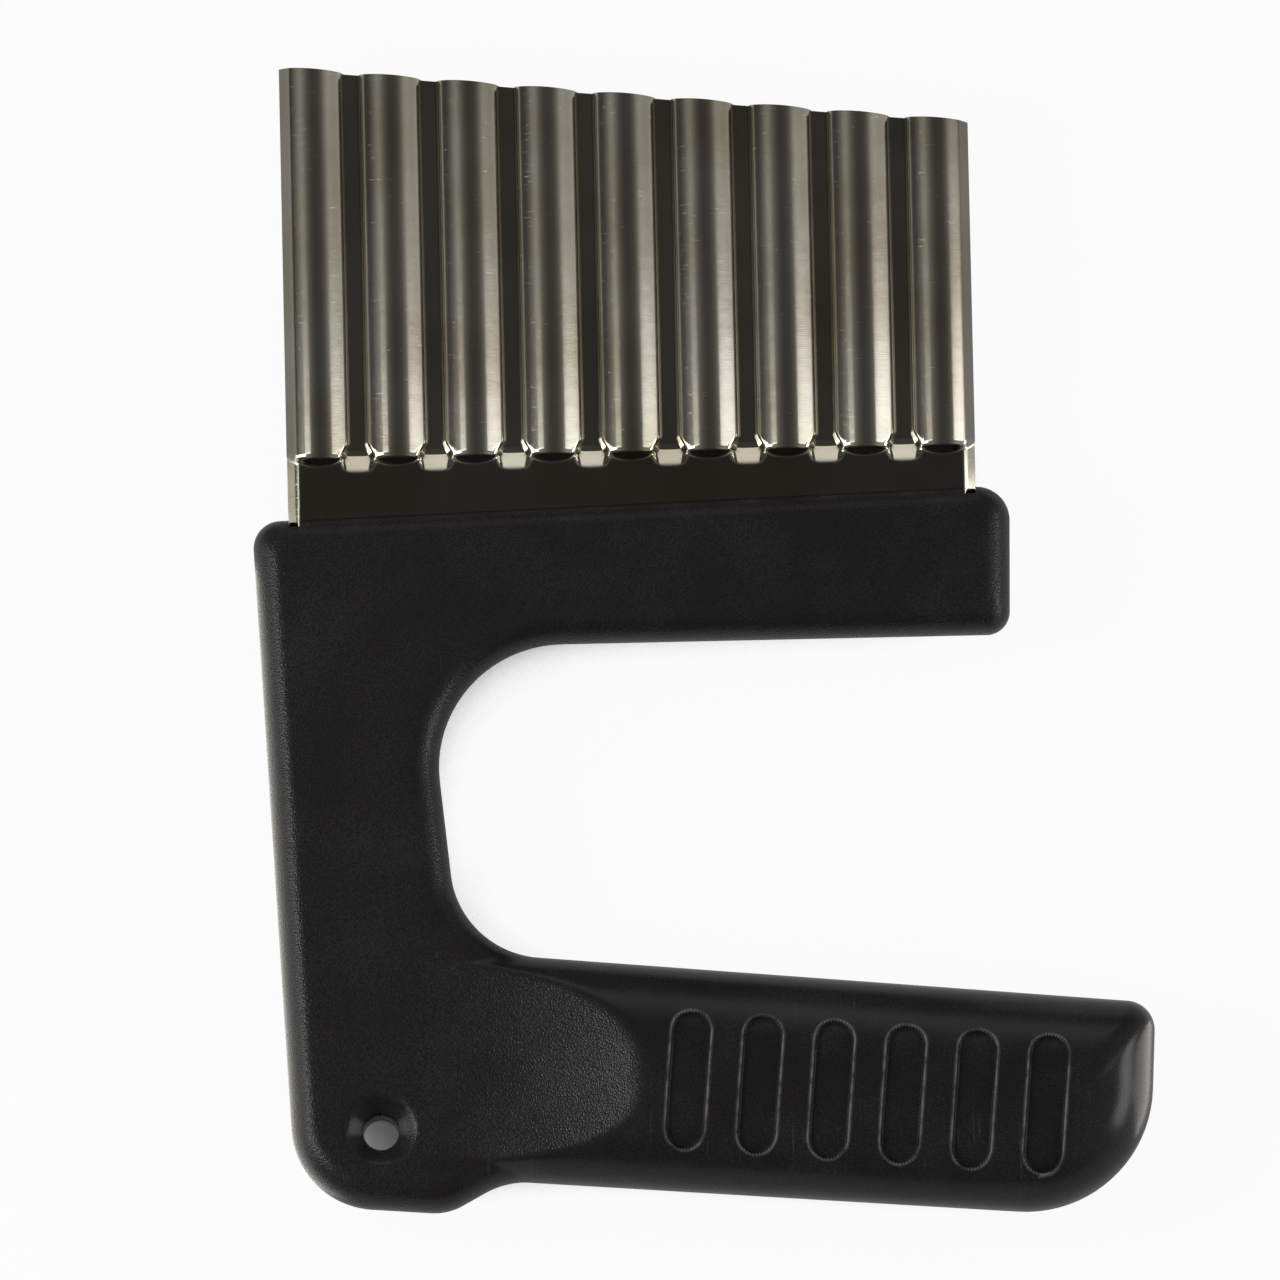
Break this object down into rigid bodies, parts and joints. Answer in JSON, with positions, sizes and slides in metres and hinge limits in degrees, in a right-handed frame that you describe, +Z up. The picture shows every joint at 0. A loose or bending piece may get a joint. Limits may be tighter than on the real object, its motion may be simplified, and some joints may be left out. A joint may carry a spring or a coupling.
{
  "type": "crinkle cutter",
  "caption": "Hand tool with a corrugated steel blade and a slanted cutting edge, moulded into a C-shaped black handle with a domed grip, finger recesses and a hanging hole.",
  "frame": {"origin": "middle of the tool's footprint, on the surface that the tool lies on", "axes": "+Y towards the cutting edge, +X along the bar away from the stem, +Z up out of the face that the picture shows"},
  "size_m": [0.1138, 0.1508, 0.02],
  "materials": {
    "blade_steel": "bright rolled stainless sheet, fine marks across the ridges",
    "handle_plastic": "black moulding, fine matte texture on bar and stem, smoother on the grip"
  },
  "bodies": {
    "root": {"blade": "blade_steel", "handle": "handle_plastic"}
  },
  "joints": []
}
